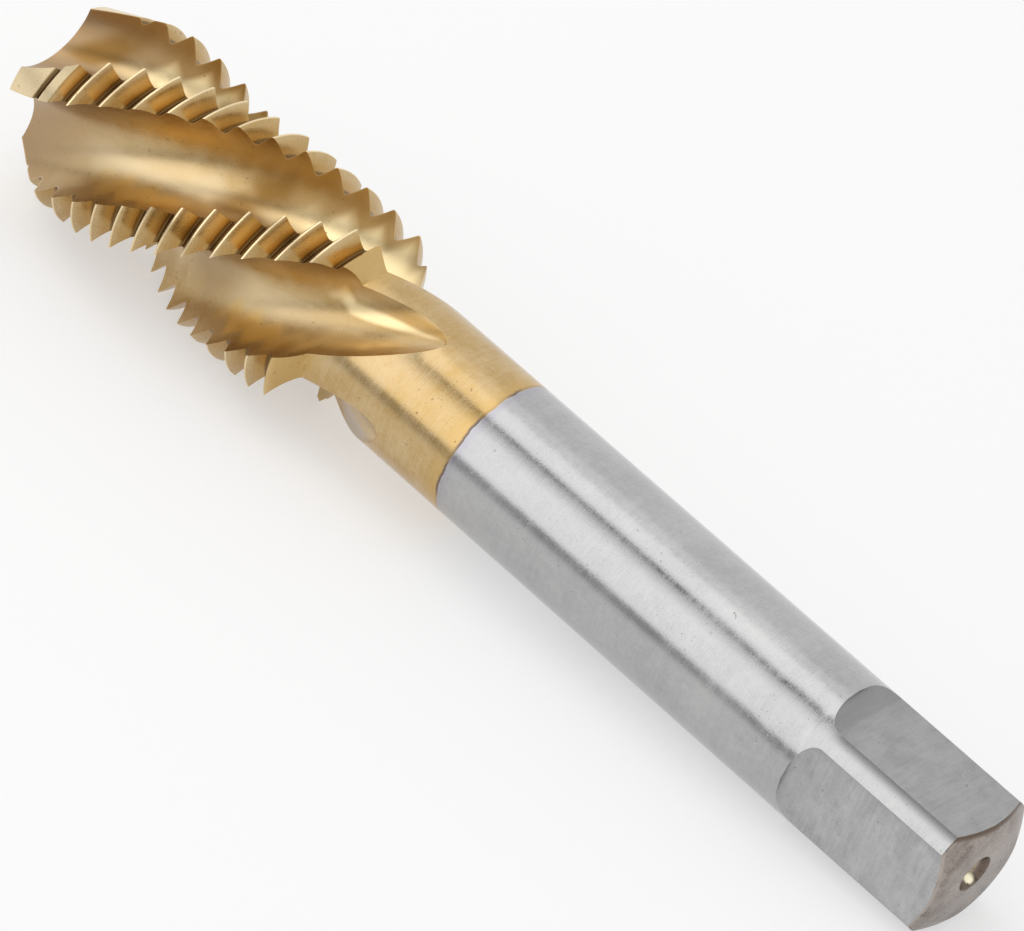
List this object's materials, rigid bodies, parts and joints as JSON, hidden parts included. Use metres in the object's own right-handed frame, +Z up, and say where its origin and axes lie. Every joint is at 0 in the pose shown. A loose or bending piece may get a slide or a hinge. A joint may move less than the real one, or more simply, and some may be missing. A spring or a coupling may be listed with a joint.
{
  "type": "spiral flute tap",
  "caption": "Machine tap with left-hand thread and helical chip flutes, a coated cutting end, a plain round shank and a square drive end.",
  "frame": {"origin": "on the surface that the tap lies on, below the middle of its bounding box", "axes": "+X from the tip towards the drive end, seen from above along the tap; +Z up. The turning axis lies in the XZ plane and drops 2.4 degrees towards the drive end, because the thread is thicker than the shank"},
  "size_m": [0.1134, 0.0201, 0.0204],
  "materials": {
    "tool_steel": "ground high speed steel; a thin gold nitride coat covers the thread, the flutes and the front of the shank, and the rest of the shank is bare"
  },
  "bodies": {
    "root": {"tap": "tool_steel"}
  },
  "joints": []
}
